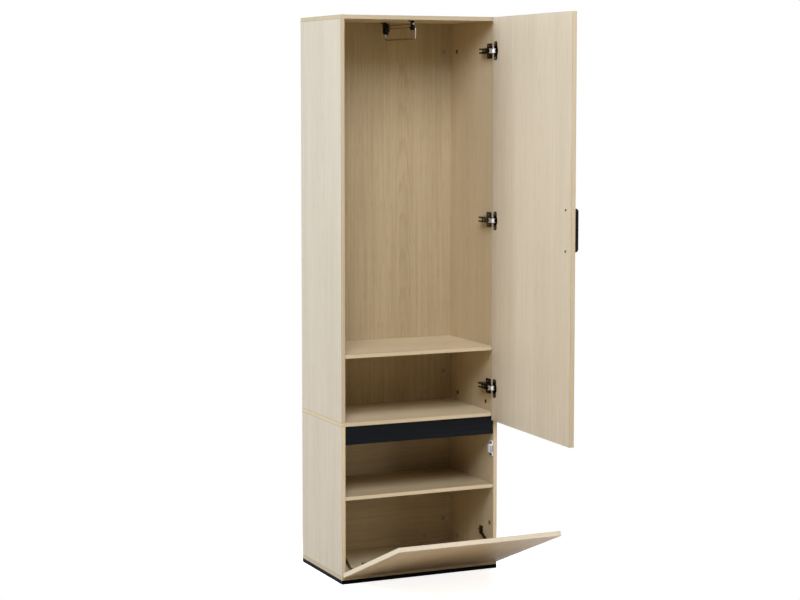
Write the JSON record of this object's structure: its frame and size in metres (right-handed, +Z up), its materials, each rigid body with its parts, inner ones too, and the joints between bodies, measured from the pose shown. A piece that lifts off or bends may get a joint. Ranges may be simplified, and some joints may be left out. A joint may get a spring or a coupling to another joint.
{
  "type": "hall wardrobe with mirror door",
  "caption": "Tall narrow hall wardrobe in pale birch board: an upper cabinet with a mirror door and pull-out hanger rail over a lower cabinet with a drop flap.",
  "frame": {"origin": "on the floor, under the middle of the carcass", "axes": "+X to the right seen from the front, +Y to the back, +Z up; the door hangs on the +X side"},
  "size_m": [0.5698, 0.9172, 1.85],
  "materials": {
    "birch_board": "melamine-faced particle board with a pale birch print, satin",
    "black_board": "black melamine-faced board, satin",
    "mirror": "silvered float glass with ground edges",
    "tape": "white foam mounting tape",
    "black_fittings": "black powder coat, satin",
    "white_plastic": "moulded white plastic",
    "cam_metal": "die-cast zinc, dull",
    "chromed_wire": "bright chromed steel wire",
    "dowel_wood": "plain beech dowel",
    "dark_steel": "dark zinc-plated steel",
    "nickel_steel": "nickel-plated pressed steel"
  },
  "bodies": {
    "carcass": {"catch_body": "white_plastic", "catch_magnet": "nickel_steel", "catch_screws": "nickel_steel", "door_hinge_arm_pins": "nickel_steel", "door_hinge_arm_screws": "nickel_steel", "door_hinge_arms": "nickel_steel", "door_hinge_plate_screws": "nickel_steel", "door_hinge_plates": "nickel_steel", "flap_hinge_arm_pins": "nickel_steel", "flap_hinge_arm_screws": "nickel_steel", "flap_hinge_arms": "nickel_steel", "flap_hinge_plate_screws": "nickel_steel", "flap_hinge_plates": "nickel_steel", "grip_rail": "black_board", "lower_back_panel": "birch_board", "lower_bottom_panel": "birch_board", "lower_cam_locks": "cam_metal", "lower_left_side": "birch_board", "lower_right_side": "birch_board", "lower_shelf": "birch_board", "lower_shelf_pins": "nickel_steel", "plinth_back_rail": "black_board", "plinth_cross_rails": "black_board", "plinth_front_rail": "black_board", "rail_back_bracket": "black_fittings", "rail_front_bracket": "black_fittings", "rail_guide_rod": "chromed_wire", "rail_screws": "nickel_steel", "stacking_dowels": "dowel_wood", "stay_side_pins": "nickel_steel", "stay_side_plates": "dark_steel", "top_panel": "birch_board", "upper_back_panel": "birch_board", "upper_bottom_panel": "birch_board", "upper_cam_locks": "cam_metal", "upper_left_side": "birch_board", "upper_right_side": "birch_board", "upper_shelf": "birch_board", "upper_shelf_pins": "nickel_steel"},
    "door_links": {"door_hinge_links": "nickel_steel"},
    "door": {"door_panel": "birch_board", "mirror_glass": "mirror", "mirror_tape": "tape", "handle": "black_fittings", "handle_screws": "nickel_steel", "door_hinge_cups": "nickel_steel", "door_hinge_cup_pins": "nickel_steel", "door_hinge_cup_screws": "nickel_steel"},
    "flap_links": {"flap_hinge_links": "nickel_steel"},
    "flap": {"flap_panel": "birch_board", "strike_plate": "nickel_steel", "strike_screw": "nickel_steel", "flap_hinge_cups": "nickel_steel", "flap_hinge_cup_pins": "nickel_steel", "flap_hinge_cup_screws": "nickel_steel", "stay_flap_brackets": "dark_steel", "stay_flap_pins": "nickel_steel"},
    "stays": {"stay_arms": "dark_steel"},
    "hanger": {"hanger_wire": "chromed_wire", "rail_slide_block": "black_fittings"}
  },
  "joints": [
    {"name": "door_link_turn", "type": "hinge", "parent": "carcass", "child": "door_links", "pos_m": [0.2485, -0.179, 1.178], "axis": [0, 0, 1], "range_deg": [-9.36, 50.2]},
    {"name": "door_swing", "type": "hinge", "parent": "door_links", "child": "door", "pos_m": [0.26065, -0.19358, 1.178], "axis": [0, 0, 1], "range_deg": [-138.7, 25.86]},
    {"name": "flap_link_turn", "type": "hinge", "parent": "carcass", "child": "flap_links", "pos_m": [0, -0.179, 0.047], "axis": [1, 0, 0], "range_deg": [0, 74.78]},
    {"name": "flap_drop", "type": "hinge", "parent": "flap_links", "child": "flap", "pos_m": [0, -0.19521, 0.04259], "axis": [1, 0, 0], "range_deg": [-142.68, 0]},
    {"name": "stay_turn", "type": "hinge", "parent": "flap", "child": "stays", "pos_m": [0, -0.20183, 0.05499], "axis": [1, 0, 0], "range_deg": [0, 82.17]},
    {"name": "hanger_slide", "type": "slide", "parent": "carcass", "child": "hanger", "axis": [0, -1, 0], "range_m": [0, 0.04]}
  ],
  "couplings": [
    {"joint": "door_link_turn", "follows": "door_swing", "ratio": -0.36192},
    {"joint": "flap_link_turn", "follows": "flap_drop", "ratio": -0.52411},
    {"joint": "stay_turn", "follows": "flap_drop", "ratio": -0.57594}
  ]
}
